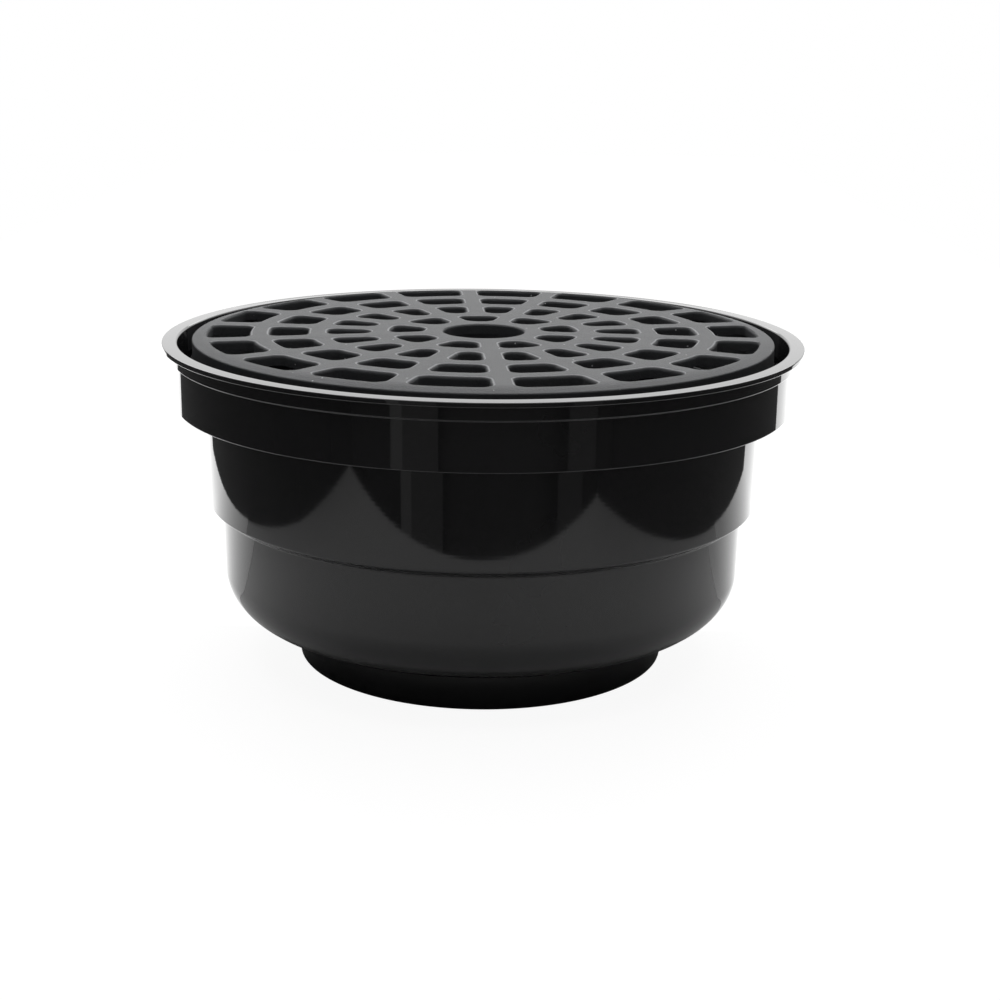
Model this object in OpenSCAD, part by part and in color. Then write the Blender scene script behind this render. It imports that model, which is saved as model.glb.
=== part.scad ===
// Round yard gully with a water trap.
// A moulded bowl carries a cast grate in its collar and stands on its foot.
// The foot holds a pipe socket that runs on inside the bowl as a standpipe,
// and a loose bell hangs over the standpipe to make the water seal.
// Origin: centre of the foot's underside. +Z is up, -Y is the front.

/* [Bowl] */
// Height from the underside of the foot to the outer edge of the rim
body_h = 161.5; // [154:0.5:200]
// Wall thickness of the moulding
wall = 3.5; // [2.6:0.1:4.4]
// Outer diameter of the rim
rim_d = 315; // [311:0.5:325]
// Width of the rim's top face
rim_w = 7.4; // [6.4:0.1:8.2]
// Thickness of the rim at its outer edge
rim_edge = 2.4; // [1.6:0.1:3.2]
// Rise of the rim's top face towards its inner edge
rim_rise = 0.1; // [0:0.1:1]
// How far the rim stands out beyond the neck under it
rim_out = 4.8; // [3.6:0.1:6]
// How far the neck stands out beyond the collar, which slides into the riser pipe
neck_out = 1.2; // [0.7:0.1:2]
// Height of the neck, from the rim's underside down to the collar
neck_h = 6.7; // [5:0.1:9]
// Height from the rim's outer edge down to the underside of the collar
collar_h = 31.7; // [28:0.1:36]
// How far the collar stands out beyond the upper body
collar_out = 13.5; // [12:0.1:16]
// Height of the upper body, from the collar down to the step
upper_h = 48.3; // [42:0.1:52]
// How far the upper body, at its top, stands out beyond the lower body
upper_out = 6.6; // [5:0.1:9]
// Height of the sloping step between the upper and lower body
step_h = 3.5; // [2:0.1:6]
// Mould draft of the upper body, in degrees
draft = 1.3; // [0.5:0.1:2.5]
// Mould draft of the lower body, in degrees
lower_draft = 2.6; // [1.5:0.1:3.2]
// Outside radius of the bowl's bottom corner
corner_r = 25; // [15:0.5:26]

/* [Foot] */
// Outer diameter of the foot at its underside
foot_d = 185.6; // [178:0.2:188]
// Outer diameter of the foot where it meets the bowl
foot_top_d = 191; // [188.4:0.2:196]
// Height of the foot
foot_h = 22.5; // [18:0.5:30]
// Number of stiffening ribs under the bowl
rib_count = 6; // [3:1:12]
// Thickness of a stiffening rib
rib_t = 3; // [2:0.1:5]
// Height of the ribs' lower edge above the underside of the foot
rib_lift = 3; // [1:0.5:6]

/* [Outlet] */
// Outer diameter of the drain pipe that the socket takes
pipe_d = 110; // [100:1:125]
// Radial clearance between the pipe and the socket
socket_gap = 0.3; // [0.1:0.05:0.6]
// Depth of the socket, from its mouth to the pipe stop
socket_depth = 50; // [40:1:60]
// Width of the ledge that stops the pipe
stop_w = 3.8; // [2.5:0.1:5]
// Height of the lead-in chamfer at the socket's mouth
lead_in = 1.5; // [0.5:0.1:2.5]
// Width of the lead-in chamfer
lead_w = 0.75; // [0.3:0.05:1.5]
// Height of the standpipe's top edge above the bowl's floor
weir_h = 60; // [56:1:66]

/* [Bell] */
// Outer diameter of the bell
bell_d = 150; // [144:1:164]
// Wall thickness of the bell
bell_wall = 2.5; // [2:0.1:3.5]
// Depth of the water seal: how far the bell dips below the standpipe's edge
seal_depth = 50; // [40:1:52]
// Height of the gap between the standpipe's edge and the bell's roof
roof_gap = 16; // [12:0.5:20]
// Outside radius of the bell's upper corner
bell_corner = 9; // [5:0.5:12]
// Number of spacer ribs inside the bell
spacer_count = 4; // [3:1:8]
// Thickness of a spacer rib
spacer_t = 3; // [2:0.1:5]
// Radial clearance between the spacer ribs and the standpipe
spacer_gap = 0.7; // [0.4:0.1:1.5]
// Length of the spacer ribs below the standpipe's edge
spacer_hook = 12; // [6:1:20]
// How far the spacer ribs reach in beyond the standpipe's bore
spacer_reach = 1.5; // [0.5:0.1:4]
// Diameter of the lifting knob's head
knob_d = 32; // [24:1:40]
// Height of the upright edge of the knob's head
head_h = 5; // [4:0.5:6]
// Height of the slope under the knob's head
slope_h = 2.5; // [1.5:0.5:3.5]
// Diameter of the knob's stem
stem_d = 16; // [12:1:20]
// Height of the knob's stem
stem_h = 7.5; // [5:0.5:8]

/* [Grate] */
// Radial clearance between the grate and the collar's inner face
grate_gap = 5; // [4:0.1:6]
// Height of the grate's top face above the rim's outer edge
grate_proud = 2.4; // [0:0.1:4]
// Thickness of the grate's plate
plate_t = 5; // [4:0.1:8]
// Thickness of the skirt round the grate's edge
skirt_t = 5; // [4:0.1:6]
// Width of the sloping border round the grate's top face
border_w = 7; // [4:0.1:7.4]
// How far the border drops towards the grate's edge
border_drop = 1.7; // [0.6:0.1:2.4]
// Rounding of the grate's upper outer edge
grate_edge = 0.8; // [0.4:0.1:1.4]
// Number of cells in each of the three outer rings; the inner ring has half as many
cell_count = 18; // [12:2:18]
// Width of the spokes between the cells
spoke_w = 10.6; // [9:0.1:12]
// Diameter of the hole in the middle of the grate
eye_d = 40; // [34:0.5:44]
// Inner radius of the ring of cells next to the hole
ring4_in = 30; // [27.5:0.1:31.5]
// Outer radius of the ring of cells next to the hole
ring4_out = 46.4; // [43:0.1:48.5]
// Inner radius of the third ring of cells
ring3_in = 56.6; // [54.5:0.1:59]
// Outer radius of the third ring of cells
ring3_out = 77; // [74.5:0.1:79]
// Inner radius of the second ring of cells
ring2_in = 87; // [85.5:0.1:89]
// Outer radius of the second ring of cells
ring2_out = 105.4; // [103:0.1:107]
// Inner radius of the outer ring of cells
ring1_in = 115.4; // [114:0.1:118]
// Distance from the skirt's inner face to the outer ring of cells
cell_ledge = 2.5; // [0.6:0.1:3.5]
// Corner radius of the cells
cell_r = 4.6; // [2:0.1:5]

/* [Hidden] */
$fn = 180;

// radii of sharp and of soft edges
edge_r = 0.6;
soft_r = 1.5;
// how far welded pieces run into each other, and cuts beyond the plate
overlap = 1.5;
// the most of an edge that the arc at one of its ends may take
edge_share = 0.48;
// edges in that arc
arc_edges = 4;
// the same for a corner with a radius over wide_r, which has small ones beside it
wide_r = 10;
wide_share = 0.85;
wide_edges = 16;

// heights, from the underside of the foot
collar_z = body_h - collar_h;
neck_z = body_h - rim_edge - neck_h;
step_z = collar_z - upper_h;
lower_z = step_z - step_h;
floor_z = foot_h + wall;
ledge_z = collar_z + wall;
weir_z = floor_z + weir_h;
grate_z = body_h + grate_proud;
border_z = grate_z - border_drop;
plate_z = grate_z - plate_t;
bell_z = weir_z - seal_depth;
roof_z = weir_z + roof_gap;
stem_z = roof_z + bell_wall;
slope_z = stem_z + stem_h;
head_z = slope_z + slope_h;
knob_z = head_z + head_h;

// radii
rim_r = rim_d / 2;
mouth_r = rim_r - rim_w;
neck_r = rim_r - rim_out;
collar_r = neck_r - neck_out;
upper_r = collar_r - collar_out;
upper_low_r = upper_r - upper_h * tan(draft);
lower_r = upper_r - upper_out;
lower_low_r = lower_r - (lower_z - foot_h) * tan(lower_draft);
foot_r = foot_d / 2;
foot_top_r = foot_top_d / 2;
socket_r = pipe_d / 2 + socket_gap;
tube_r = socket_r + wall;
bore_r = socket_r - stop_w;
grate_r = collar_r - wall - grate_gap;
skirt_in_r = grate_r - skirt_t;
ring1_out = skirt_in_r - cell_ledge;
bell_r = bell_d / 2;
bell_in_r = bell_r - bell_wall;
knob_r = knob_d / 2;
stem_r = stem_d / 2;

// the inside corner at a slope lies this much lower or higher, to keep the wall even
slope_shift = wall / 2;
// how far the spacer ribs run into the bell's wall
spacer_root = bell_wall / 2;

// Corner points of an outline, each [x, y, radius], with every corner that has
// a radius turned into an arc of short edges. A radius is limited by the edges
// beside it.
function unit(v) = v / norm(v);
function xy(p) = [p[0], p[1]];
function corner(p, q, s) =
    let (n = q[2] > wide_r ? wide_edges : arc_edges,
         share = q[2] > wide_r ? wide_share : edge_share,
         a = unit(xy(p) - xy(q)), b = unit(xy(s) - xy(q)),
         half = acos(max(-1, min(1, a * b))) / 2,
         room = share * min(norm(xy(p) - xy(q)), norm(xy(s) - xy(q))),
         cut = min(q[2] / tan(half), room),
         r = cut * tan(half),
         mid = xy(q) + unit(a + b) * r / sin(half),
         u = unit(xy(q) + a * cut - mid), w = unit(xy(q) + b * cut - mid),
         turn = acos(max(-1, min(1, u * w))),
         side = sign(u[0] * w[1] - u[1] * w[0]))
    [for (i = [0:n]) let (t = side * turn * i / n)
        mid + r * [u[0] * cos(t) - u[1] * sin(t), u[0] * sin(t) + u[1] * cos(t)]];
function rounded(pts) =
    let (m = len(pts))
    [for (i = [0:m - 1])
        let (q = pts[i])
        each (q[2] > 0
            ? corner(pts[(i + m - 1) % m], q, pts[(i + 1) % m])
            : [xy(q)])];

// One cell of a ring, between two spokes of even width
function cell_half(r, pitch) = pitch / 2 - asin(spoke_w / 2 / r);
function arc_length(r, pitch) = 2 * cell_half(r, pitch) * PI / 180 * r;
function arc_steps(r, pitch) = max(1, floor(arc_length(r, pitch) * edge_share / cell_r));
function polar(r, a) = [r * sin(a), -r * cos(a)];
function cell_points(r_in, r_out, pitch) =
    let (a = cell_half(r_out, pitch), b = cell_half(r_in, pitch),
         na = arc_steps(r_out, pitch), nb = arc_steps(r_in, pitch))
    concat(
        [for (i = [0:na]) let (p = polar(r_out, -a + 2 * a * i / na))
            [p[0], p[1], i == 0 || i == na ? cell_r : 0]],
        [for (i = [0:nb]) let (p = polar(r_in, b - 2 * b * i / nb))
            [p[0], p[1], i == 0 || i == nb ? cell_r : 0]]);

module revolve(pts) {
    rotate_extrude() polygon(rounded(pts));
}

module cell_ring(r_in, r_out, count) {
    pitch = 360 / count;
    for (i = [0:count - 1])
        rotate([0, 0, (i + 0.5) * pitch])
            translate([0, 0, plate_z - overlap])
                linear_extrude(plate_t + 2 * overlap)
                    polygon(rounded(cell_points(r_in, r_out, pitch)));
}

// Bowl, collar, rim, foot, socket and standpipe: one moulding
module bowl_shell() {
    revolve([
        // outside, from the foot up
        [foot_r, 0, edge_r],
        [foot_top_r, foot_h, soft_r],
        [lower_low_r, foot_h, corner_r],
        [lower_r, lower_z, soft_r],
        [upper_low_r, step_z, soft_r],
        [upper_r, collar_z, edge_r],
        [collar_r, collar_z, edge_r],
        [collar_r, neck_z, edge_r],
        [neck_r, neck_z, edge_r],
        [neck_r, body_h - rim_edge, edge_r],
        [rim_r, body_h - rim_edge, edge_r],
        [rim_r, body_h, edge_r],
        // inside, from the mouth down
        [mouth_r, body_h + rim_rise, edge_r],
        [collar_r - wall, neck_z - slope_shift, soft_r],
        [collar_r - wall, ledge_z, soft_r],
        [upper_r - wall, ledge_z, soft_r],
        [upper_low_r - wall, step_z + slope_shift, soft_r],
        [lower_r - wall, lower_z + slope_shift, soft_r],
        [lower_low_r - wall, floor_z, corner_r - wall],
        [tube_r, floor_z, soft_r],
        [tube_r, weir_z, edge_r],
        [bore_r, weir_z, edge_r],
        // through the standpipe and the socket
        [bore_r, socket_depth, 0],
        [socket_r, socket_depth, 0],
        [socket_r, lead_in, 0],
        [socket_r + lead_w, 0, 0],
        [tube_r, 0, 0],
        [tube_r, foot_h, soft_r],
        [foot_top_r - wall, foot_h, soft_r],
        [foot_r - wall, 0, 0]
    ]);
}

module foot_rib() {
    rotate([90, 0, 0])
        translate([0, 0, -rib_t / 2])
            linear_extrude(rib_t)
                polygon([
                    [tube_r - overlap, rib_lift],
                    [foot_r - wall + overlap, rib_lift],
                    [foot_top_r - wall + overlap, foot_h + overlap],
                    [tube_r - overlap, foot_h + overlap]
                ]);
}

module body() {
    color("#1b1b1d")
        union() {
            bowl_shell();
            for (i = [0:rib_count - 1])
                rotate([0, 0, i * 360 / rib_count]) foot_rib();
        }
}

// Cast plate with rings of cells, on a skirt that stands on the collar's ledge
module grate() {
    color("#77787a")
        difference() {
            revolve([
                [eye_d / 2, plate_z, 0],
                [skirt_in_r, plate_z, soft_r],
                [skirt_in_r, ledge_z, 0],
                [grate_r, ledge_z, edge_r],
                [grate_r, border_z, grate_edge],
                [grate_r - border_w, grate_z, 0],
                [eye_d / 2, grate_z, 0]
            ]);
            cell_ring(ring1_in, ring1_out, cell_count);
            cell_ring(ring2_in, ring2_out, cell_count);
            cell_ring(ring3_in, ring3_out, cell_count);
            cell_ring(ring4_in, ring4_out, cell_count / 2);
        }
}

// Loose bell with a lifting knob; its spacer ribs stand on the standpipe's edge
module bell_shell() {
    revolve([
        [0, roof_z, 0],
        [bell_in_r, roof_z, bell_corner - bell_wall],
        [bell_in_r, bell_z, 0],
        [bell_r, bell_z, edge_r],
        [bell_r, stem_z, bell_corner],
        [stem_r, stem_z, soft_r],
        [stem_r, slope_z, soft_r],
        [knob_r, head_z, soft_r],
        [knob_r, knob_z, soft_r],
        [0, knob_z, 0]
    ]);
}

module spacer_rib() {
    rotate([90, 0, 0])
        translate([0, 0, -spacer_t / 2])
            linear_extrude(spacer_t)
                polygon([
                    [bore_r - spacer_reach, weir_z],
                    [tube_r + spacer_gap, weir_z],
                    [tube_r + spacer_gap, weir_z - spacer_hook],
                    [bell_in_r + spacer_root, weir_z - spacer_hook],
                    [bell_in_r + spacer_root, roof_z - bell_corner],
                    [bell_in_r - bell_corner, roof_z + spacer_root],
                    [bore_r - spacer_reach, roof_z + spacer_root]
                ]);
}

module trap_bell() {
    color("#2a2a2c")
        union() {
            bell_shell();
            for (i = [0:spacer_count - 1])
                rotate([0, 0, (i + 0.5) * 360 / spacer_count]) spacer_rib();
        }
}

body();
grate();
trap_bell();
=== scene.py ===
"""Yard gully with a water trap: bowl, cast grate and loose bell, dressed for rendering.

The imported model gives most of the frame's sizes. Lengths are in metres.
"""

import logging
import math
from dataclasses import dataclass, field
from enum import Enum
from typing import Callable, Optional, Sequence

import bmesh
import bpy
from mathutils import Matrix, Vector

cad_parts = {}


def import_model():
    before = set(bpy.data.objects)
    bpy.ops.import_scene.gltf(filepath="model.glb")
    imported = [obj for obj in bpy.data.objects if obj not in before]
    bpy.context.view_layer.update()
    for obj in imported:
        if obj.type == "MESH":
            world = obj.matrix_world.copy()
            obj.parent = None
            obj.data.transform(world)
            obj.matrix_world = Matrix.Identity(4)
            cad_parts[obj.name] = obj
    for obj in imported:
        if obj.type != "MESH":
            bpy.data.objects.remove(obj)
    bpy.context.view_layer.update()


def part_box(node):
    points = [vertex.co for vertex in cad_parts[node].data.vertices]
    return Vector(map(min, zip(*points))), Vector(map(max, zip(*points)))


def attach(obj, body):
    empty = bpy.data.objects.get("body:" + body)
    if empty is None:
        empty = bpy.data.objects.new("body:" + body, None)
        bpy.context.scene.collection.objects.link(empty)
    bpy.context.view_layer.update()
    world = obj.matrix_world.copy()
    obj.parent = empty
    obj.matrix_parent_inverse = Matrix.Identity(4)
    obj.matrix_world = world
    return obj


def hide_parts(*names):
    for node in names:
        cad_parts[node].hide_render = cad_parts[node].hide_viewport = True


LOG = logging.getLogger("gully")
# One millimetre in metres.
MM = 0.001
# The grate's attribute that marks the shoulders of the cells' lips, where a paler colour is painted as a
# highlight.
PAINTED_HIGHLIGHT = "painted_highlight"
# Points closer to a cut than this, in metres, lie on it.
NEAR = 1e-6
# Two places closer than this, in metres, are the same place.
SAME = 2e-6
# Edges that bend less than this, in degrees, are merged into one.
FLAT = 0.3
# A height within this of another, in millimetres, is the same height.
LEVEL = 0.01
ORIGIN = (0.0, 0.0, 0.0)


# ---------------------------------------------------------------- modelling tools

class Operation(Enum):
    """What a second solid does to the first."""

    CUT = "DIFFERENCE"
    WELD = "UNION"


@dataclass(frozen=True)
class Corner:
    """A corner of a section, in millimetres.

    Attributes:
        r: Its distance from the axis.
        z: Its height.
        rounding: The radius that rounds it, or 0 for a sharp corner.
        segments: How many edges the rounding has.
        share: The most that the rounding takes of the shorter edge beside it.
    """

    r: float
    z: float
    rounding: float = 0.0
    segments: int = 4
    share: float = 0.48

    def place(self) -> Vector:
        """The corner's place in the XZ plane, in metres."""
        return Vector((self.r * MM, 0.0, self.z * MM))


def deselect_all() -> None:
    """Leave object mode's selection empty."""
    if bpy.context.object and bpy.context.object.mode != "OBJECT":
        bpy.ops.object.mode_set(mode="OBJECT")
    bpy.ops.object.select_all(action="DESELECT")


def activate(obj: bpy.types.Object) -> None:
    """Make an object the only selected one, and the active one.

    Args:
        obj: The object.
    """
    deselect_all()
    obj.select_set(True)
    bpy.context.view_layer.objects.active = obj


def pick_vertices(obj: bpy.types.Object, test: Callable[[Vector], bool]) -> int:
    """Select the vertices of obj, which is in edit mode, that pass a test.

    Args:
        obj: The object being edited.
        test: Takes a vertex's place and says whether it is picked.

    Returns:
        The number of vertices picked.
    """
    bpy.ops.mesh.select_mode(type="VERT")
    bpy.ops.mesh.select_all(action="DESELECT")
    mesh = bmesh.from_edit_mesh(obj.data)
    found = 0
    for vert in mesh.verts:
        if test(vert.co):
            vert.select_set(True)
            found += 1
    mesh.select_flush_mode()
    bmesh.update_edit_mesh(obj.data)
    return found


def near(place: Vector) -> Callable[[Vector], bool]:
    """A test that picks the vertex at a place.

    Args:
        place: The place, in metres.

    Returns:
        The test, which takes a vertex's place.
    """
    return lambda co: (co - place).length < SAME


def start_point(name: str, place: Vector) -> bpy.types.Object:
    """Add a plane, shrink it to one vertex and leave it in edit mode.

    Args:
        name: The new object's name.
        place: Where the vertex goes.

    Returns:
        The object, in edit mode with its vertex selected.
    """
    deselect_all()
    bpy.ops.mesh.primitive_plane_add(size=MM, location=ORIGIN)
    obj = bpy.context.object
    obj.name = obj.data.name = name
    bpy.ops.object.mode_set(mode="EDIT")
    bpy.ops.mesh.select_mode(type="VERT")
    bpy.ops.mesh.select_all(action="SELECT")
    bpy.ops.mesh.merge(type="CENTER")
    bpy.ops.mesh.select_all(action="SELECT")
    bpy.ops.transform.translate(value=tuple(place))
    return obj


def rounding_cut(before: Corner, at: Corner, after: Corner) -> float:
    """How far from a corner its rounding starts.

    Args:
        before: The corner before it.
        at: The corner.
        after: The corner after it.

    Returns:
        The distance along both edges, in metres.
    """
    one, two = before.place() - at.place(), after.place() - at.place()
    half = one.angle(two) / 2
    return min(at.rounding * MM / math.tan(half), at.share * min(one.length, two.length))


def draw_section(name: str, corners: Sequence[Corner], closed: bool) -> bpy.types.Object:
    """Draw a section in the XZ plane as a chain of edges with rounded corners.

    Args:
        name: The new object's name.
        corners: The section's corners, in order.
        closed: Whether the last corner joins the first.

    Returns:
        The object, in edit mode.
    """
    places = [corner.place() for corner in corners]
    obj = start_point(name, places[0])
    for one, two in zip(places, places[1:]):
        bpy.ops.mesh.extrude_region_move(TRANSFORM_OT_translate={"value": tuple(two - one)})
    if closed:
        ends = (near(places[0]), near(places[-1]))
        pick_vertices(obj, lambda co: ends[0](co) or ends[1](co))
        bpy.ops.mesh.edge_face_add()
    for index, corner in enumerate(corners):
        if corner.rounding:
            cut = rounding_cut(corners[index - 1], corner, corners[(index + 1) % len(corners)])
            pick_vertices(obj, near(places[index]))
            bpy.ops.mesh.bevel(offset=cut, affect="VERTICES", segments=corner.segments,
                               profile=0.5, clamp_overlap=False)
    return obj


def lathe(name: str, corners: Sequence[Corner], steps: int, closed: bool = True) -> bpy.types.Object:
    """Turn a section round the Z axis.

    Args:
        name: The new object's name.
        corners: The section's corners, in order.
        steps: How many facets the turn has.
        closed: Whether the section is a closed outline. An open one starts and ends on the axis.

    Returns:
        The closed solid, in object mode.
    """
    obj = draw_section(name, corners, closed)
    bpy.ops.mesh.select_all(action="SELECT")
    bpy.ops.mesh.spin(steps=steps, angle=math.tau, center=ORIGIN, axis=(0.0, 0.0, 1.0))
    bpy.ops.mesh.select_all(action="SELECT")
    bpy.ops.mesh.remove_doubles(threshold=SAME)
    bpy.ops.mesh.normals_make_consistent(inside=False)
    bpy.ops.object.mode_set(mode="OBJECT")
    return obj


def slab(name: str, corners: Sequence[Corner], thickness: float) -> bpy.types.Object:
    """Make a flat rib from its outline.

    Args:
        name: The new object's name.
        corners: The outline's corners in the XZ plane, in order.
        thickness: How thick it is along Y, in millimetres. It is centred on the plane.

    Returns:
        The closed solid, in object mode.
    """
    obj = draw_section(name, corners, closed=True)
    bpy.ops.mesh.select_all(action="SELECT")
    bpy.ops.mesh.edge_face_add()
    bpy.ops.transform.translate(value=(0.0, -thickness / 2 * MM, 0.0))
    bpy.ops.mesh.extrude_region_move(TRANSFORM_OT_translate={"value": (0.0, thickness * MM, 0.0)})
    bpy.ops.mesh.select_all(action="SELECT")
    bpy.ops.mesh.normals_make_consistent(inside=False)
    bpy.ops.object.mode_set(mode="OBJECT")
    return obj


def ring_of(obj: bpy.types.Object, count: int, start: float = 0.0) -> list[bpy.types.Object]:
    """Replace a piece by a ring of copies, evenly turned round the Z axis.

    Args:
        obj: The piece, which is removed.
        count: How many copies there are.
        start: Where the first copy stands, as a share of the pitch.

    Returns:
        The copies, each with its place in its mesh.
    """
    copies = []
    for index in range(count):
        copy = obj.copy()
        copy.data = obj.data.copy()
        copy.data.transform(Matrix.Rotation(math.tau * (index + start) / count, 4, "Z"))
        bpy.context.collection.objects.link(copy)
        copies.append(copy)
    bpy.data.objects.remove(obj, do_unlink=True)
    return copies


def join(objects: Sequence[bpy.types.Object]) -> bpy.types.Object:
    """Join several objects into the first.

    Args:
        objects: The objects.

    Returns:
        The first, which now holds them all.
    """
    deselect_all()
    for obj in objects:
        obj.select_set(True)
    bpy.context.view_layer.objects.active = objects[0]
    bpy.ops.object.join()
    return objects[0]


def apply_modifier(obj: bpy.types.Object, kind: str, **settings: object) -> None:
    """Add a modifier to obj, set it and apply it.

    Args:
        obj: The object to change.
        kind: The modifier's type.
        **settings: The modifier's properties.
    """
    activate(obj)
    modifier = obj.modifiers.new(kind.title(), kind)
    for key, value in settings.items():
        setattr(modifier, key, value)
    bpy.ops.object.modifier_apply(modifier=modifier.name)


def combine(obj: bpy.types.Object, tool: bpy.types.Object, operation: Operation) -> None:
    """Cut tool from obj or weld it to obj, and remove it.

    Args:
        obj: The object to change.
        tool: The object that cuts or is welded on.
        operation: Which of the two it does.
    """
    apply_modifier(obj, "BOOLEAN", operation=operation.value, solver="EXACT", object=tool)
    bpy.data.objects.remove(tool, do_unlink=True)


def smooth(obj: bpy.types.Object, angle: float = 32.0) -> None:
    """Shade an object smooth, with its wide faces flat.

    Args:
        obj: The object.
        angle: Edges sharper than this, in degrees, stay sharp.
    """
    activate(obj)
    bpy.ops.object.shade_smooth_by_angle(angle=math.radians(angle))
    apply_modifier(obj, "WEIGHTED_NORMAL", keep_sharp=True, weight=100)


# ---------------------------------------------------------------- materials

def linear(code: str) -> tuple[float, float, float, float]:
    """The linear colour of an sRGB hex code.

    Args:
        code: The code, such as #1b1b1d.

    Returns:
        Red, green, blue and alpha.
    """
    parts = [int(code[i:i + 2], 16) / 255 for i in (1, 3, 5)]
    turned = [p / 12.92 if p <= 0.04045 else ((p + 0.055) / 1.055) ** 2.4 for p in parts]
    return (*turned, 1.0)


def add_node(tree: bpy.types.NodeTree, kind: str, inputs: Optional[dict] = None,
             **settings: object) -> bpy.types.Node:
    """Add a node to a tree.

    Args:
        tree: The node tree.
        kind: The node's type.
        inputs: Input name or number to a value, or to an output socket to link.
        **settings: The node's properties.

    Returns:
        The node.
    """
    node = tree.nodes.new(kind)
    for key, value in settings.items():
        setattr(node, key, value)
    for key, value in (inputs or {}).items():
        if isinstance(value, bpy.types.NodeSocket):
            tree.links.new(value, node.inputs[key])
        else:
            node.inputs[key].default_value = value
    return node


def set_ramp(node: bpy.types.Node, stops: Sequence[tuple[float, tuple]]) -> None:
    """Give a colour ramp its stops.

    Args:
        node: The ramp's node.
        stops: Each stop's place from 0 to 1, and its colour.
    """
    elements = node.color_ramp.elements
    while len(elements) < len(stops):
        elements.new(1.0)
    for element, (place, colour) in zip(elements, stops):
        element.position = place
        element.color = colour


def grey(value: float) -> tuple[float, float, float, float]:
    """A neutral colour.

    Args:
        value: Its linear value.

    Returns:
        Red, green, blue and alpha.
    """
    return (value, value, value, 1.0)


def mix_colours(tree: bpy.types.NodeTree, factor: object, one: object, two: object) -> bpy.types.NodeSocket:
    """Mix two colours.

    Args:
        tree: The node tree.
        factor: How much of the second colour there is.
        one: The first colour.
        two: The second colour.

    Returns:
        The mixed colour.
    """
    node = add_node(tree, "ShaderNodeMix", {0: factor, 6: one, 7: two}, data_type="RGBA")
    return node.outputs[2]


def new_material(name: str) -> tuple[bpy.types.Material, bpy.types.NodeTree]:
    """Make a material with an empty node tree.

    Args:
        name: The material's name.

    Returns:
        The material and its tree.
    """
    material = bpy.data.materials.new(name)
    material.use_nodes = True
    material.node_tree.nodes.clear()
    return material, material.node_tree


@dataclass(frozen=True)
class MouldedPolypropylene:
    """Injection moulded polypropylene from a turned and polished tool.

    The tool leaves a glossy skin with a very faint ripple and fine turning marks round it, and
    handling leaves a thin haze that blurs the gloss here and there.

    Attributes:
        name: The material's name.
        colour: The skin's colour, as an sRGB hex code.
        haze: Its colour where the haze is thickest.
        roughness: How matt the skin is where there is no haze.
        haze_blur: What the haze adds to that.
        ripple_mm: How far apart the ripples are.
        haze_mm: How wide the patches of haze are.
        mark_mm: How far apart the turning marks are.
        ior: The plastic's index of refraction.
    """

    name: str
    colour: str
    haze: str
    roughness: float
    haze_blur: float = 0.03
    ripple_mm: float = 28.0
    haze_mm: float = 55.0
    mark_mm: float = 1.6
    ior: float = 1.49

    def build(self) -> bpy.types.Material:
        """Make the material."""
        material, tree = new_material(self.name)
        place = add_node(tree, "ShaderNodeTexCoord").outputs["Object"]
        haze = add_node(tree, "ShaderNodeTexNoise", {"Vector": place, "Scale": 1 / (self.haze_mm * MM),
                                                     "Detail": 3.0, "Roughness": 0.55})
        tint = add_node(tree, "ShaderNodeValToRGB", {"Fac": haze.outputs["Fac"]})
        set_ramp(tint, [(0.35, linear(self.colour)), (0.75, linear(self.haze))])
        gloss = add_node(tree, "ShaderNodeMapRange", {
            "Value": haze.outputs["Fac"], "From Min": 0.3, "From Max": 0.75,
            "To Min": self.roughness, "To Max": self.roughness + self.haze_blur})
        ripple = add_node(tree, "ShaderNodeTexNoise", {"Vector": place, "Scale": 1 / (self.ripple_mm * MM),
                                                       "Detail": 1.0})
        bump = add_node(tree, "ShaderNodeBump", {"Height": ripple.outputs["Fac"], "Strength": 0.05,
                                                 "Distance": 0.3 * MM})
        height = add_node(tree, "ShaderNodeSeparateXYZ", {"Vector": place})
        marks = add_node(tree, "ShaderNodeTexNoise", {
            "W": height.outputs["Z"], "Scale": 1 / (self.mark_mm * MM), "Detail": 2.0}, noise_dimensions="1D")
        turned = add_node(tree, "ShaderNodeBump", {
            "Height": marks.outputs["Fac"], "Strength": 0.05, "Distance": 0.05 * MM,
            "Normal": bump.outputs["Normal"]})
        surface = add_node(tree, "ShaderNodeBsdfPrincipled", {
            "Base Color": tint.outputs["Color"], "Roughness": gloss.outputs["Result"],
            "Normal": turned.outputs["Normal"], "IOR": self.ior})
        add_node(tree, "ShaderNodeOutputMaterial", {"Surface": surface.outputs["BSDF"]})
        return material


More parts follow.
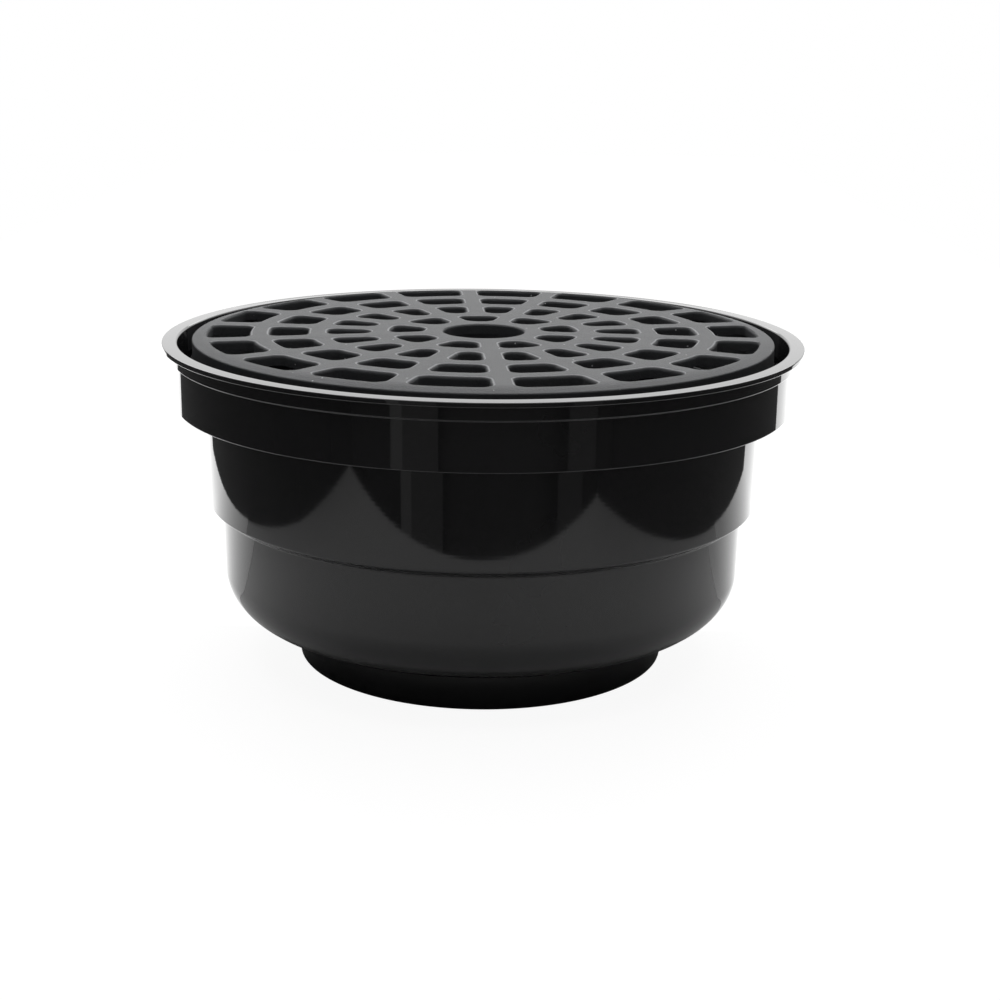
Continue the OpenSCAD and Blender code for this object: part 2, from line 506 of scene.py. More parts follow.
@dataclass(frozen=True)
class DippedCastIron:
    """Grey iron cast in sand and dipped in a thin grey coating.

    The sand leaves a fine matt grain. A paler colour is painted on the shoulders of the cells' lips as a
    highlight, and the coating holds a few pale specks.

    Attributes:
        name: The material's name.
        colour: The coating's darker colour, as an sRGB hex code.
        pale: Its paler colour.
        highlight_colour: The paler colour painted on the lips' shoulders as a highlight.
        speck: The colour of the specks.
        roughness: How matt it is.
        shine: How strongly it shines at all.
        grain_mm: The size of the sand's grains.
        mottle_mm: How wide the darker and paler patches are.
        speck_mm: The size of the cells of which a few hold a speck.
        speck_free: The share of cells without a speck.
    """

    name: str
    colour: str
    pale: str
    highlight_colour: str
    speck: str
    roughness: float
    shine: float = 0.28
    grain_mm: float = 0.9
    mottle_mm: float = 14.0
    speck_mm: float = 4.5
    speck_free: float = 0.86

    def build(self) -> bpy.types.Material:
        """Make the material."""
        material, tree = new_material(self.name)
        place = add_node(tree, "ShaderNodeTexCoord").outputs["Object"]
        mottle = add_node(tree, "ShaderNodeTexNoise", {"Vector": place, "Scale": 1 / (self.mottle_mm * MM),
                                                       "Detail": 4.0, "Roughness": 0.6})
        tint = add_node(tree, "ShaderNodeValToRGB", {"Fac": mottle.outputs["Fac"]})
        set_ramp(tint, [(0.3, linear(self.colour)), (0.8, linear(self.pale))])
        grain = add_node(tree, "ShaderNodeTexNoise", {"Vector": place, "Scale": 1 / (self.grain_mm * MM),
                                                      "Detail": 2.0, "Roughness": 0.7})
        cell = add_node(tree, "ShaderNodeTexVoronoi", {"Vector": place, "Scale": 1 / (self.speck_mm * MM),
                                                       "Randomness": 1.0})
        spot = add_node(tree, "ShaderNodeMapRange", {"Value": cell.outputs["Distance"], "From Min": 0.05,
                                                     "From Max": 0.11, "To Min": 1.0, "To Max": 0.0})
        chance = add_node(tree, "ShaderNodeSeparateColor", {"Color": cell.outputs["Color"]})
        rare = add_node(tree, "ShaderNodeMath", {0: chance.outputs["Red"], 1: self.speck_free},
                        operation="GREATER_THAN")
        speck = add_node(tree, "ShaderNodeMath", {0: spot.outputs["Result"], 1: rare.outputs[0]},
                         operation="MULTIPLY")
        speckled = mix_colours(tree, speck.outputs[0], tint.outputs["Color"], linear(self.speck))
        # Painted highlight: the paler colour goes where the grate marks the shoulders of its cells' lips.
        painted_highlight = add_node(tree, "ShaderNodeAttribute", attribute_name=PAINTED_HIGHLIGHT)
        coat = mix_colours(tree, painted_highlight.outputs["Fac"], speckled, linear(self.highlight_colour))
        bump = add_node(tree, "ShaderNodeBump", {"Height": grain.outputs["Fac"], "Strength": 0.8,
                                                 "Distance": 0.35 * MM})
        surface = add_node(tree, "ShaderNodeBsdfPrincipled", {
            "Base Color": coat, "Roughness": self.roughness,
            "Normal": bump.outputs["Normal"], "Specular IOR Level": self.shine})
        add_node(tree, "ShaderNodeOutputMaterial", {"Surface": surface.outputs["BSDF"]})
        return material


# ---------------------------------------------------------------- the object's pieces

@dataclass
class Frame:
    """Sizes that the pieces share, in millimetres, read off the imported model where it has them.

    Attributes:
        rim_z: Height of the bowl's rim.
        grate_z: Height of the grate's top.
        rim_r: The rim's outer radius.
        grate_r: The grate's outer radius.
        seat_z: Height of the ledge that the grate stands on.
        bell_z: Height of the bell's lower edge.
        bell_top: Height of the knob's top.
        bell_r: The bell's outer radius.
    """

    rim_z: float = 161.5
    grate_z: float = field(init=False)
    rim_r: float = field(init=False)
    grate_r: float = field(init=False)
    seat_z: float = field(init=False)
    bell_z: float = field(init=False)
    bell_top: float = field(init=False)
    bell_r: float = field(init=False)

    def __post_init__(self) -> None:
        """Read each node's box."""
        self.rim_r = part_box("body")[1].x / MM
        low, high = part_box("grate")
        self.grate_r, self.grate_z, self.seat_z = high.x / MM, high.z / MM, low.z / MM
        low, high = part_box("trap_bell")
        self.bell_r, self.bell_top, self.bell_z = high.x / MM, high.z / MM, low.z / MM


def put_on(obj: bpy.types.Object, material: bpy.types.Material, node: str) -> None:
    """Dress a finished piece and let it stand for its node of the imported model.

    Args:
        obj: The piece.
        material: Its material.
        node: The node it replaces.
    """
    obj.data.materials.clear()
    obj.data.materials.append(material)
    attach(obj, "root")
    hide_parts(node)
    triangles = sum(len(face.vertices) - 2 for face in obj.data.polygons)
    LOG.info("%s: %d triangles, for %s", obj.name, triangles, node)


@dataclass
class Bowl:
    """The bowl: rim, neck, collar, stepped body and foot, with the socket and standpipe inside.

    Names in _r are radii, in _h heights of a stretch, in _w widths and in _t thicknesses, all in
    millimetres. The drafts are in degrees.
    """

    frame: Frame
    finish: MouldedPolypropylene
    wall: float = 3.5
    rim_w: float = 7.4
    rim_edge: float = 2.4
    rim_rise: float = 0.1
    inner_edge: float = 1.2
    neck_r: float = 152.7
    neck_h: float = 6.7
    collar_r: float = 151.5
    collar_h: float = 31.7
    upper_r: float = 138.0
    upper_h: float = 48.3
    lower_r: float = 131.4
    step_h: float = 3.5
    draft: float = 1.3
    lower_draft: float = 2.6
    corner_r: float = 25.0
    corner_share: float = 0.85
    corner_steps: int = 16
    inner_steps: int = 14
    foot_r: float = 92.8
    foot_top_r: float = 95.5
    foot_h: float = 22.5
    rib_count: int = 6
    rib_t: float = 3.0
    rib_lift: float = 3.0
    rib_lap: float = 1.5
    socket_r: float = 55.3
    socket_depth: float = 50.0
    bore_r: float = 51.5
    lead_in: float = 1.5
    weir_h: float = 60.0
    steps: int = 240
    edge: float = 0.6
    soft: float = 1.5

    def corners(self) -> list[Corner]:
        """The section's corners.

        Returns:
            The corners, from the foot up the outside, down the inside and through the socket.
        """
        rim_z, wall = self.frame.rim_z, self.wall
        collar_z = rim_z - self.collar_h
        under_z = rim_z - self.rim_edge
        neck_z = under_z - self.neck_h
        step_z = collar_z - self.upper_h
        lower_z = step_z - self.step_h
        floor_z, ledge_z = self.foot_h + self.wall, collar_z + self.wall
        upper_low = self.upper_r - self.upper_h * math.tan(math.radians(self.draft))
        lower_low = self.lower_r - (lower_z - self.foot_h) * math.tan(math.radians(self.lower_draft))
        tube_r, weir_z = self.socket_r + self.wall, floor_z + self.weir_h
        edge, soft = self.edge, self.soft
        return [
            Corner(self.foot_r, 0, edge), Corner(self.foot_top_r, self.foot_h, soft),
            Corner(lower_low, self.foot_h, self.corner_r, self.corner_steps, self.corner_share),
            Corner(self.lower_r, lower_z, soft),
            Corner(upper_low, step_z, soft), Corner(self.upper_r, collar_z, edge),
            Corner(self.collar_r, collar_z, edge), Corner(self.collar_r, neck_z, edge),
            Corner(self.neck_r, neck_z, edge), Corner(self.neck_r, under_z, edge),
            Corner(self.frame.rim_r, under_z, edge), Corner(self.frame.rim_r, rim_z, edge),
            Corner(self.frame.rim_r - self.rim_w, rim_z + self.rim_rise, self.inner_edge),
            Corner(self.collar_r - wall, neck_z - wall / 2, soft),
            Corner(self.collar_r - wall, ledge_z, soft), Corner(self.upper_r - wall, ledge_z, soft),
            Corner(upper_low - wall, step_z + wall / 2, soft),
            Corner(self.lower_r - wall, lower_z + wall / 2, soft),
            Corner(lower_low - wall, floor_z, self.corner_r - wall, self.inner_steps),
            Corner(tube_r, floor_z, soft),
            Corner(tube_r, weir_z, edge), Corner(self.bore_r, weir_z, edge),
            Corner(self.bore_r, self.socket_depth), Corner(self.socket_r, self.socket_depth),
            Corner(self.socket_r, self.lead_in), Corner(self.socket_r + self.lead_in / 2, 0),
            Corner(tube_r, 0), Corner(tube_r, self.foot_h, soft),
            Corner(self.foot_top_r - wall, self.foot_h, soft), Corner(self.foot_r - wall, 0),
        ]

    def ribs(self) -> bpy.types.Object:
        """The stiffening ribs under the bowl, from the socket out to the foot.

        Returns:
            All the ribs as one object.
        """
        lap = self.rib_lap
        inner, outer = self.socket_r + self.wall - lap, self.foot_r - self.wall + lap
        high = self.foot_h + lap
        rib = slab("foot_rib", [
            Corner(inner, self.rib_lift), Corner(outer, self.rib_lift),
            Corner(self.foot_top_r - self.wall + lap, high), Corner(inner, high),
        ], self.rib_t)
        return join(ring_of(rib, self.rib_count))

    def build(self) -> bpy.types.Object:
        """Model and dress the bowl."""
        bowl = lathe("bowl", self.corners(), self.steps)
        combine(bowl, self.ribs(), Operation.WELD)
        smooth(bowl)
        put_on(bowl, self.finish.build(), "body")
        return bowl


@dataclass
class Grate:
    """The cast grate: a plate with rings of cells on a skirt, in millimetres.

    Attributes:
        frame: The sizes that it shares with the other pieces.
        finish: Its material.
        plate: The plate's thickness.
        skirt: The skirt's thickness.
        border_w: Width of the sloping border.
        border_drop: How far the border slopes down.
        fold_r: Radius of the fold between the flat top and the border.
        fold_steps: How many edges the fold has.
        edge: Rounding of the outer upper edge.
        foot_edge: Rounding of the skirt's outer lower edge.
        fillet: Rounding between the skirt and the plate.
        eye_r: Radius of the eye in the middle.
        eye_edge: Rounding of its edge.
        spoke: Width of the webs between the cells.
        cell_ledge: From the skirt's inside to the outer ring of cells.
        cell_r: How far from a cell's corner its rounding starts.
        cell_reach: The share of that within which other vertices give way.
        cell_steps: How many edges that rounding has.
        overcut: How far the cells' cutters reach past the plate.
        count: Cells in each of the outer rings.
        steps: Facets of a full turn.
        lip: Rounding of the cells' upper edges.
        lip_steps: How many edges that rounding has.
        shade: Edges sharper than this, in degrees, are shaded sharp.
    """

    frame: Frame
    finish: DippedCastIron
    plate: float = 5.0
    skirt: float = 5.0
    border_w: float = 7.0
    border_drop: float = 1.7
    fold_r: float = 28.0
    fold_steps: int = 6
    edge: float = 0.8
    foot_edge: float = 0.6
    fillet: float = 1.5
    eye_r: float = 20.0
    eye_edge: float = 1.2
    spoke: float = 10.6
    cell_ledge: float = 2.5
    cell_r: float = 4.6
    cell_reach: float = 1.05
    cell_steps: int = 6
    overcut: float = 1.5
    count: int = 18
    steps: int = 360
    lip: float = 1.8
    lip_steps: int = 4
    shade: float = 40.0

    def blank(self) -> bpy.types.Object:
        """The plate and skirt before the cells are cut."""
        top, seat, outer = self.frame.grate_z, self.frame.seat_z, self.frame.grate_r
        under, inner = top - self.plate, outer - self.skirt
        return lathe("grate", [
            Corner(self.eye_r, under), Corner(inner, under, self.fillet),
            Corner(inner, seat), Corner(outer, seat, self.foot_edge),
            Corner(outer, top - self.border_drop, self.edge),
            Corner(outer - self.border_w, top, self.fold_r, self.fold_steps),
            Corner(self.eye_r, top, self.eye_edge),
        ], self.steps)

    def sector(self, inner: float, outer: float, pitch: float) -> bpy.types.Object:
        """The flat outline of one cell, with its four corners rounded.

        Args:
            inner: The ring's inner radius.
            outer: The ring's outer radius.
            pitch: The angle from one spoke to the next, in radians.

        Returns:
            The outline at the foot of the cutter, in edit mode.
        """
        foot = self.frame.grate_z - self.plate - self.overcut
        deselect_all()
        bpy.ops.mesh.primitive_circle_add(vertices=self.steps, radius=inner * MM, fill_type="NOTHING",
                                          location=ORIGIN)
        obj = bpy.context.object
        obj.name = "cell"
        bpy.ops.object.mode_set(mode="EDIT")
        bpy.ops.mesh.select_mode(type="VERT")
        bpy.ops.mesh.select_all(action="SELECT")
        bpy.ops.transform.translate(value=(0.0, 0.0, foot * MM))
        bpy.ops.mesh.extrude_region_move(TRANSFORM_OT_translate={"value": ORIGIN})
        bpy.ops.transform.resize(value=(outer / inner, outer / inner, 1.0), center_override=(0, 0, foot * MM))
        normals = []
        for angle, way in ((0.0, 1.0), (pitch, -1.0)):
            along = Vector((math.sin(angle), -math.cos(angle), 0.0))
            across = Vector((-along.y, along.x, 0.0)) * way
            normals.append(across)
            bpy.ops.mesh.select_all(action="SELECT")
            bpy.ops.mesh.bisect(plane_co=tuple(across * self.spoke / 2 * MM), plane_no=tuple(across),
                                clear_inner=True, use_fill=False, threshold=NEAR)
        bpy.ops.mesh.select_all(action="SELECT")
        bpy.ops.mesh.dissolve_limited(angle_limit=math.radians(FLAT))
        ends = [v.co.copy() for v in bmesh.from_edit_mesh(obj.data).verts
                if any(abs(v.co.dot(n) - self.spoke / 2 * MM) < SAME for n in normals)]
        reach = self.cell_reach * self.cell_r * MM
        pick_vertices(obj, lambda co: NEAR < min((co - end).length for end in ends) < reach)
        bpy.ops.mesh.dissolve_verts()
        for end in ends:
            pick_vertices(obj, near(end))
            bpy.ops.mesh.bevel(offset=self.cell_r * MM, affect="VERTICES", segments=self.cell_steps,
                               profile=0.5, clamp_overlap=False)
        bpy.ops.mesh.select_mode(type="FACE")
        bpy.ops.mesh.select_all(action="SELECT")
        bpy.ops.mesh.delete(type="ONLY_FACE")
        return obj

    def cell(self, inner: float, outer: float, count: int) -> bpy.types.Object:
        """A cutter with the outline of one cell, which widens into its lip.

        Args:
            inner: The ring's inner radius.
            outer: The ring's outer radius.
            count: How many cells the ring has.

        Returns:
            The block, between the spokes at 0 and one pitch round from the -Y axis.
        """
        obj = self.sector(inner, outer, math.tau / count)
        under = self.frame.grate_z - self.plate
        bpy.ops.mesh.select_mode(type="EDGE")
        bpy.ops.mesh.select_all(action="SELECT")
        self.rise(self.plate + self.overcut - self.lip)
        bpy.ops.mesh.select_all(action="SELECT")
        bpy.ops.mesh.normals_make_consistent(inside=False)
        pick_vertices(obj, lambda co: co.z > under * MM)
        turns = [math.pi / 2 * i / self.lip_steps for i in range(self.lip_steps + 1)]
        for one, two in zip(turns, turns[1:]):
            self.rise(self.lip * (math.sin(two) - math.sin(one)))
            bpy.ops.transform.shrink_fatten(value=self.lip * (math.cos(one) - math.cos(two)) * MM,
                                            use_even_offset=True)
        self.rise(self.overcut)
        bpy.ops.mesh.select_all(action="SELECT")
        bpy.ops.mesh.region_to_loop()
        bpy.ops.mesh.edge_face_add()
        bpy.ops.mesh.select_all(action="SELECT")
        bpy.ops.mesh.normals_make_consistent(inside=False)
        bpy.ops.object.mode_set(mode="OBJECT")
        return obj

    @staticmethod
    def rise(height: float) -> None:
        """Extrude the selected edges upwards.

        Args:
            height: How far, in millimetres.
        """
        bpy.ops.mesh.extrude_region_move(TRANSFORM_OT_translate={"value": (0.0, 0.0, height * MM)})

    def painted_highlight(self, grate: bpy.types.Object) -> None:
        """Mark the shoulders of the cells' lips, where a paler colour is painted as a highlight.

        Args:
            grate: The finished mesh.
        """
        step = math.pi / 2 * (self.lip_steps - 1) / self.lip_steps
        height = (self.frame.grate_z - self.lip * (1 - math.sin(step))) * MM
        layer = grate.data.attributes.new(PAINTED_HIGHLIGHT, "FLOAT", "POINT")
        for vert, mark in zip(grate.data.vertices, layer.data):
            mark.value = 1.0 if abs(vert.co.z - height) < LEVEL * MM else 0.0

    def rings(self) -> list[tuple[float, float, int]]:
        """The rings of cells, from the outside in.

        Returns:
            Each ring's inner radius, outer radius and count of cells.
        """
        border = self.frame.grate_r - self.skirt - self.cell_ledge
        return [(115.4, border, self.count), (87.0, 105.4, self.count), (56.6, 77.0, self.count),
                (30.0, 46.4, self.count // 2)]

    def build(self) -> bpy.types.Object:
        """Model and dress the grate."""
        grate = self.blank()
        cutters = []
        for inner, outer, count in self.rings():
            cutters += ring_of(self.cell(inner, outer, count), count)
        combine(grate, join(cutters), Operation.CUT)
        smooth(grate, self.shade)
        # Marks where the painted highlight goes.
        self.painted_highlight(grate)
        put_on(grate, self.finish.build(), "grate")
        return grate


@dataclass
class TrapBell:
    """The loose bell, with its lifting knob and the spacer ribs that stand on the standpipe.

    Names in _r are radii, in _h heights of a stretch and in _t thicknesses, all in millimetres.
    """

    frame: Frame
    finish: MouldedPolypropylene
    wall: float = 2.5
    corner: float = 9.0
    corner_steps: int = 8
    edge: float = 0.6
    soft: float = 1.5
    knob_r: float = 16.0
    head_h: float = 5.0
    slope_h: float = 2.5
    stem_r: float = 8.0
    stem_h: float = 7.5
    spacer_count: int = 4
    spacer_t: float = 3.0
    spacer_gap: float = 0.7
    spacer_reach: float = 1.5
    hook: float = 12.0
    roof_gap: float = 16.0
    tube_r: float = 58.8
    bore_r: float = 51.5
    steps: int = 160

    def build(self) -> bpy.types.Object:
        """Model and dress the bell."""
        top, low, outer = self.frame.bell_top, self.frame.bell_z, self.frame.bell_r
        head = top - self.head_h
        slope = head - self.slope_h
        stem = slope - self.stem_h
        inner, roof = outer - self.wall, stem - self.wall
        weir = roof - self.roof_gap
        soft, steps = self.soft, self.corner_steps
        bell = lathe("bell", [
            Corner(0, roof), Corner(inner, roof, self.corner - self.wall, steps), Corner(inner, low),
            Corner(outer, low, self.edge), Corner(outer, stem, self.corner, steps),
            Corner(self.stem_r, stem, soft), Corner(self.stem_r, slope, soft),
            Corner(self.knob_r, head, soft), Corner(self.knob_r, top, soft), Corner(0, top),
        ], self.steps, closed=False)
        near_r, far_r = self.bore_r - self.spacer_reach, self.tube_r + self.spacer_gap
        half_wall, hook_z = self.wall / 2, weir - self.hook
        spacer = slab("spacer", [
            Corner(near_r, weir), Corner(far_r, weir), Corner(far_r, hook_z),
            Corner(inner + half_wall, hook_z), Corner(inner + half_wall, roof - self.corner),
            Corner(inner - self.corner, roof + half_wall), Corner(near_r, roof + half_wall),
        ], self.spacer_t)
        combine(bell, join(ring_of(spacer, self.spacer_count, 0.5)), Operation.WELD)
        smooth(bell)
        put_on(bell, self.finish.build(), "trap_bell")
        return bell


# ---------------------------------------------------------------- studio

@dataclass(frozen=True)
class SoftBox:
    """A lamp with a wide flat face, in the middle of the studio, in millimetres.

    Attributes:
        name: The lamp's name.
        towards: Its distance from the axis towards the camera.
        up: Its height.
        width: Its face's width.
        height: Its face's height.
        radiance: How bright its face is, where 1 is white.
    """

    name: str
    towards: float
    up: float
    width: float
    height: float
    radiance: float


@dataclass(frozen=True)
class Streak:
    """A narrow pale card in the dark of the room, which the gloss shows as a soft streak.

    Attributes:
        start: Where it starts, in degrees round the axis from the camera to the right.
        end: Where it ends.
        value: Its linear grey.
    """

    start: float
    end: float
    value: float


@dataclass
class Studio:
    """Camera, lamps, world, table and cards, in millimetres and degrees.

    The table is white and of limited size. The cards at its sides and the dark cloth beyond them
    are out of the camera's sight.

    Attributes:
        rim_z: Height of the bowl's rim.
        turn: How far the studio is turned round the object.
        distance: From the axis to the camera.
        above_rim: From the rim up to the camera.
        camera_across: How far the camera stands to the right.
        pitch: How far it looks down.
        yaw: How far it looks to the right.
        roll: How far it leans.
        lens: Its focal length.
        sensor: Its sensor's width.
        fill: The world's strength as light.
        table_half: Half the table's width.
        table_front: From the axis to its front edge.
        table_back: From the axis to its back edge.
        table_grey: Its linear grey, as light and in the gloss.
        table_shade: How much of the shadow on it the camera sees.
        table_glow: How white the camera sees it without any lamp.
        panel_half: Half the width of the bright panel that lies on the table behind the object.
        panel_lift: How high it lies.
        panel_front: Where it starts, behind the axis.
        panel_full: Where it reaches its full glow.
        panel_edge: Its glow at the start, and as light.
        panel_glow: Its full glow in the gloss.
        cloth: The linear grey of the cloth round the camera.
        cloth_reach: From the axis to the cloth.
        cloth_low: Height of the cloth's lower edge.
        cloth_high: Height of its upper edge.
        cloth_end: Where the cloth ends at the sides, towards the camera.
        card: The linear grey of the side cards.
        card_h: Their height.
        left_card: Places of the left card's two ends and its bend, each (across, towards).
        right_card: The same on the right.
        streak_reach: From the axis to the pale cards in the dark.
        streak_low: Height of their lower edge.
        streak_high: Height of their upper edge.
        streaks: The pale cards.
        boxes: The lamps.
    """

    rim_z: float
    turn: float = -3.92
    distance: float = 843.1
    above_rim: float = 148.8
    camera_across: float = 0.8
    pitch: float = 15.48
    yaw: float = 0.57
    roll: float = 0.81
    lens: float = 61.71
    sensor: float = 36.0
    fill: float = 0.35
    table_half: float = 700.0
    table_front: float = 375.0
    table_back: float = 3500.0
    table_grey: float = 0.85
    table_shade: float = 0.12
    table_glow: float = 0.93
    panel_half: float = 2500.0
    panel_lift: float = 1.0
    panel_front: float = 20.0
    panel_full: float = 220.0
    panel_edge: float = 0.9
    panel_glow: float = 2.2
    cloth: float = 0.18
    cloth_reach: float = 1400.0
    cloth_low: float = -800.0
    cloth_high: float = 1700.0
    cloth_end: float = -300.0
    card: float = 0.11
    card_h: float = 300.0
    left_card: tuple[tuple[float, float], ...] = ((-400.0, 372.0), (-370.0, 170.0), (-370.0, -325.0))
    right_card: tuple[tuple[float, float], ...] = ((312.0, 372.0), (352.0, 120.0), (402.0, -235.0))
    streak_reach: float = 1300.0
    streak_low: float = -700.0
    streak_high: float = 400.0
    streaks: tuple[Streak, ...] = (Streak(-30.5, -26.5, 0.6), Streak(-26.5, -14.5, 0.32),
                                   Streak(28.5, 38.0, 0.3))
    boxes: tuple[SoftBox, ...] = (SoftBox("top_box", 0.0, 1500.0, 1600.0, 1600.0, 2.0),
                                  SoftBox("back_box", -1700.0, 1250.0, 2400.0, 1000.0, 3.0),
                                  SoftBox("low_box", -1700.0, 550.0, 2400.0, 340.0, 0.6))

    def place(self, across: float, towards: float, up: float) -> Vector:
        """A place given from the camera's side.

        Args:
            across: Distance to the right, in millimetres.
            towards: Distance from the axis towards the camera, in millimetres.
            up: Height, in millimetres.

        Returns:
            The place, in metres.
        """
        return Matrix.Rotation(math.radians(self.turn), 3, "Z") @ Vector((across, -towards, up)) * MM

    def camera(self) -> None:
        """Set the camera at the front, a little above the rim."""
        yaw, pitch, roll = (math.radians(a) for a in (self.yaw, self.pitch, self.roll))
        right = Vector((math.cos(yaw), -math.sin(yaw), 0.0))
        ahead = Vector((math.sin(yaw) * math.cos(pitch), math.cos(yaw) * math.cos(pitch), -math.sin(pitch)))
        up = right.cross(ahead)
        side = right * math.cos(roll) + up * math.sin(roll)
        head = up * math.cos(roll) - right * math.sin(roll)
        basis = Matrix((side, head, -ahead)).transposed()
        turn = Matrix.Rotation(math.radians(self.turn), 3, "Z")
        data = bpy.data.cameras.new("camera")
        data.lens, data.sensor_width = self.lens, self.sensor
        data.clip_start, data.clip_end = 0.02, 50.0
        camera = bpy.data.objects.new("camera", data)
        camera.matrix_world = (turn @ basis).to_4x4()
        camera.location = self.place(self.camera_across, self.distance, self.rim_z + self.above_rim)
        bpy.context.collection.objects.link(camera)
        bpy.context.scene.camera = camera

    def lamp(self, box: SoftBox) -> None:
        """Add a lamp that faces the middle of the rim.

        Args:
            box: What it is like.
        """
        spot, aim = self.place(0.0, box.towards, box.up), Vector((0.0, 0.0, self.rim_z * MM))
        data = bpy.data.lights.new(box.name, "AREA")
        data.shape, data.size, data.size_y = "RECTANGLE", box.width * MM, box.height * MM
        data.energy = box.radiance * math.pi * data.size * data.size_y
        lamp = bpy.data.objects.new(box.name, data)
        lamp.location = spot
        lamp.rotation_mode = "QUATERNION"
        lamp.rotation_quaternion = (aim - spot).to_track_quat("-Z", "Y")
        bpy.context.collection.objects.link(lamp)

    @staticmethod
    def sheet(name: str, corners: Sequence[Vector], material: bpy.types.Material) -> bpy.types.Object:
        """Put a flat sheet in the studio, out of the camera's sight.

        Args:
            name: The sheet's name.
            corners: Its four corners, in order.
            material: What it is covered with.

        Returns:
            The sheet.
        """
        deselect_all()
        bpy.ops.mesh.primitive_plane_add(size=1.0, location=ORIGIN)
        sheet = bpy.context.object
        sheet.name = name
        for index, corner in zip(sheet.data.polygons[0].vertices, corners):
            sheet.data.vertices[index].co = corner
        sheet.data.materials.append(material)
        sheet.visible_camera = False
        return sheet

    def lying(self, name: str, half: float, front: float, back: float, height: float,
              material: bpy.types.Material) -> bpy.types.Object:
        """Lay a sheet level.

        Args:
            name: The sheet's name.
            half: Half its width, in millimetres.
            front: Its front edge, towards the camera.
            back: Its back edge, towards the camera.
            height: How high it lies.
            material: What it is covered with.

        Returns:
            The sheet.
        """
        corners = [self.place(-half, front, height), self.place(half, front, height),
                   self.place(half, back, height), self.place(-half, back, height)]
        return self.sheet(name, corners, material)

    def upright(self, name: str, start: tuple[float, float], end: tuple[float, float],
                material: bpy.types.Material, low: float, high: float) -> None:
        """Stand a sheet upright between two places.

        Args:
            name: The sheet's name.
            start: Where it starts, as (across, towards).
            end: Where it ends.
            material: What it is covered with.
            low: Height of its lower edge.
            high: Height of its upper edge.
        """
        corners = [self.place(*start, low), self.place(*end, low), self.place(*end, high),
                   self.place(*start, high)]
        self.sheet(name, corners, material)

    def world(self) -> None:
        """A white room, which lights the object softly from all round."""
        world = bpy.data.worlds.new("room")
        bpy.context.scene.world = world
        world.use_nodes = True
        tree = world.node_tree
        tree.nodes.clear()
        path = add_node(tree, "ShaderNodeLightPath")
        seen = add_node(tree, "ShaderNodeMath", {
            0: path.outputs["Is Camera Ray"], 1: path.outputs["Is Glossy Ray"]}, operation="MAXIMUM")
        shown = add_node(tree, "ShaderNodeMath", {
            0: seen.outputs[0], 1: path.outputs["Is Transmission Ray"]}, operation="MAXIMUM")
        soft = add_node(tree, "ShaderNodeBackground", {"Color": grey(1.0), "Strength": self.fill})
        white = add_node(tree, "ShaderNodeBackground", {"Color": grey(1.0), "Strength": 1.0})
        mix = add_node(tree, "ShaderNodeMixShader", {0: shown.outputs[0], 1: soft.outputs[0],
                                                     2: white.outputs[0]})
        add_node(tree, "ShaderNodeOutputWorld", {"Surface": mix.outputs[0]})

    def table(self) -> None:
        """A white table top, which keeps the object's shadow."""
        material, tree = new_material("white_laminate")
        path = add_node(tree, "ShaderNodeLightPath")
        matt = add_node(tree, "ShaderNodeBsdfDiffuse", {"Color": grey(self.table_grey)})
        faint = add_node(tree, "ShaderNodeBsdfDiffuse", {"Color": grey(self.table_shade)})
        glow = add_node(tree, "ShaderNodeEmission", {"Color": grey(1.0), "Strength": self.table_glow})
        shown = add_node(tree, "ShaderNodeAddShader", {0: faint.outputs[0], 1: glow.outputs[0]})
        mix = add_node(tree, "ShaderNodeMixShader", {0: path.outputs["Is Camera Ray"], 1: matt.outputs[0],
                                                     2: shown.outputs[0]})
        add_node(tree, "ShaderNodeOutputMaterial", {"Surface": mix.outputs[0]})
        table = self.lying("table", self.table_half, self.table_front, -self.table_back, 0.0, material)
        table.visible_camera = True

    def panel(self) -> None:
        """A bright panel on the table behind the object, which shows in the gloss of its sides."""
        material, tree = new_material("light_panel")
        path = add_node(tree, "ShaderNodeLightPath")
        spot = add_node(tree, "ShaderNodeTexCoord")
        apart = add_node(tree, "ShaderNodeSeparateXYZ", {"Vector": spot.outputs["Object"]})
        grade = add_node(tree, "ShaderNodeMapRange", {
            "Value": apart.outputs["Y"], "From Min": self.panel_front * MM,
            "From Max": self.panel_full * MM, "To Min": self.panel_edge, "To Max": self.panel_glow})
        glow = add_node(tree, "ShaderNodeEmission", {"Color": grey(1.0), "Strength": grade.outputs[0]})
        plain = add_node(tree, "ShaderNodeEmission", {"Color": grey(1.0), "Strength": self.panel_edge})
        mix = add_node(tree, "ShaderNodeMixShader", {0: path.outputs["Is Glossy Ray"], 1: plain.outputs[0],
                                                     2: glow.outputs[0]})
        add_node(tree, "ShaderNodeOutputMaterial", {"Surface": mix.outputs[0]})
        self.lying("light_panel", self.panel_half, -self.panel_front, -self.table_back, self.panel_lift,
                   material)

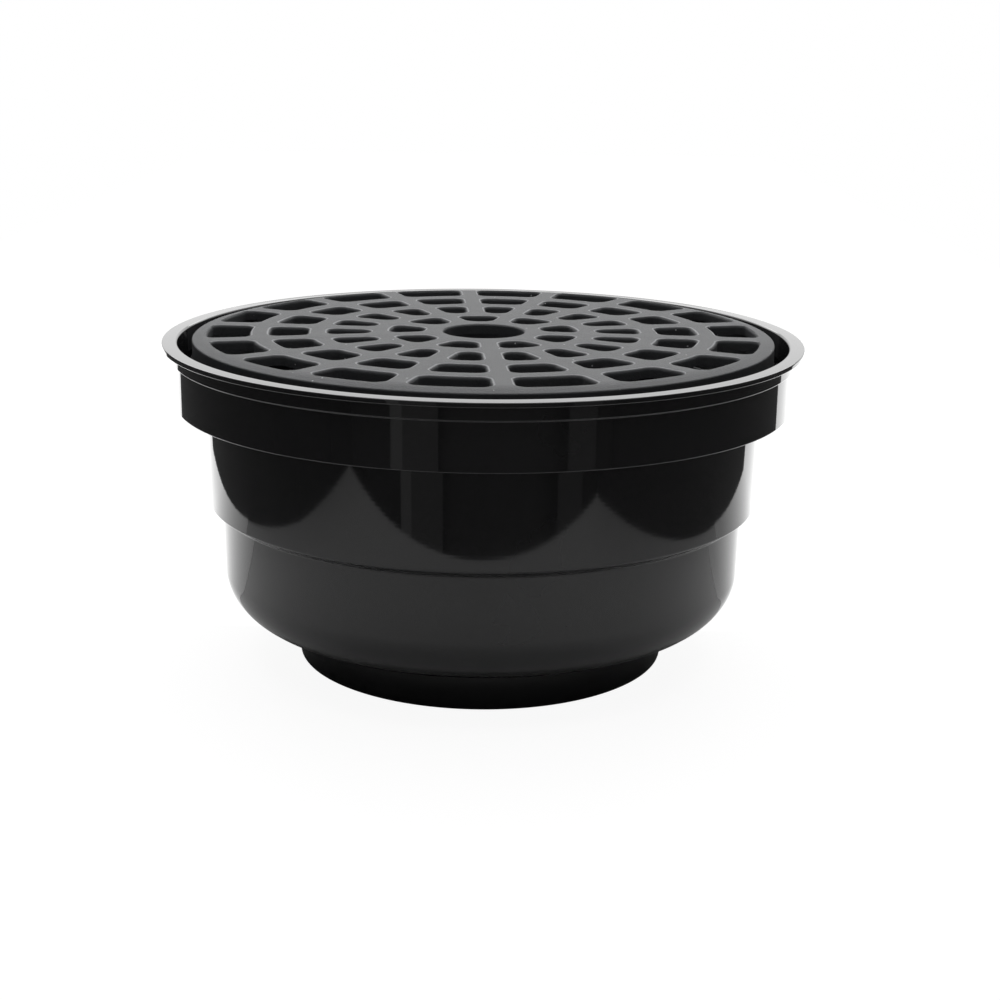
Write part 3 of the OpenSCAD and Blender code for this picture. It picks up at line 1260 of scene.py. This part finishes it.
    @staticmethod
    def matt(name: str, value: float) -> bpy.types.Material:
        """Make a matt grey covering.

        Args:
            name: The material's name.
            value: Its linear grey.

        Returns:
            The material.
        """
        material, tree = new_material(name)
        cover = add_node(tree, "ShaderNodeBsdfDiffuse", {"Color": grey(value)})
        add_node(tree, "ShaderNodeOutputMaterial", {"Surface": cover.outputs[0]})
        return material

    def room(self) -> None:
        """Dark cloth round the camera, with pale cards before it, which the gloss mirrors."""
        cloth, reach, low = self.matt("black_cloth", self.cloth), self.cloth_reach, self.cloth_low
        left, right = (-reach, reach), (reach, reach)
        self.upright("flag_front", left, right, cloth, low, self.cloth_high)
        self.upright("flag_left", left, (-reach, self.cloth_end), cloth, low, self.cloth_high)
        self.upright("flag_right", right, (reach, self.cloth_end), cloth, low, self.cloth_high)
        self.lying("flag_ground", reach, reach, -reach, low, cloth)
        for index, streak in enumerate(self.streaks):
            start, end = ((self.streak_reach * math.sin(turn), self.streak_reach * math.cos(turn))
                          for turn in (math.radians(streak.start), math.radians(streak.end)))
            self.upright(f"streak_{index}", start, end, self.matt(f"pale_card_{index}", streak.value),
                         self.streak_low, self.streak_high)

    def side_cards(self) -> None:
        """Grey cards along the table's sides, which the gloss mirrors as dark."""
        grey_card = self.matt("grey_card", self.card)
        for word, (near_end, bend, far_end) in (("left", self.left_card), ("right", self.right_card)):
            self.upright(f"card_{word}_near", near_end, bend, grey_card, 0.0, self.card_h)
            self.upright(f"card_{word}_far", bend, far_end, grey_card, 0.0, self.card_h)

    def build(self) -> None:
        """Set up the whole studio."""
        self.camera()
        self.world()
        self.table()
        self.panel()
        self.room()
        self.side_cards()
        for box in self.boxes:
            self.lamp(box)
        bpy.context.scene.view_settings.view_transform = "Standard"


def main() -> None:
    """Build the gully's pieces and the studio."""
    logging.basicConfig(level=logging.INFO, format="%(name)s: %(message)s")
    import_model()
    frame = Frame()
    black = MouldedPolypropylene("black_polypropylene", "#1c1c1d", "#202021", 0.035)
    dark = MouldedPolypropylene("dark_polypropylene", "#161618", "#1e1e20", 0.25)
    # The iron's fourth colour is a painted highlight on the shoulders of the grate cells' lips.
    iron = DippedCastIron("grey_cast_iron", "#303133", "#393a3c", "#7e7f81", "#a8a9aa", 0.62)
    for piece in (Bowl(frame, black), Grate(frame, iron), TrapBell(frame, dark)):
        piece.build()
    Studio(frame.rim_z).build()


if __name__ == "__main__":
    main()
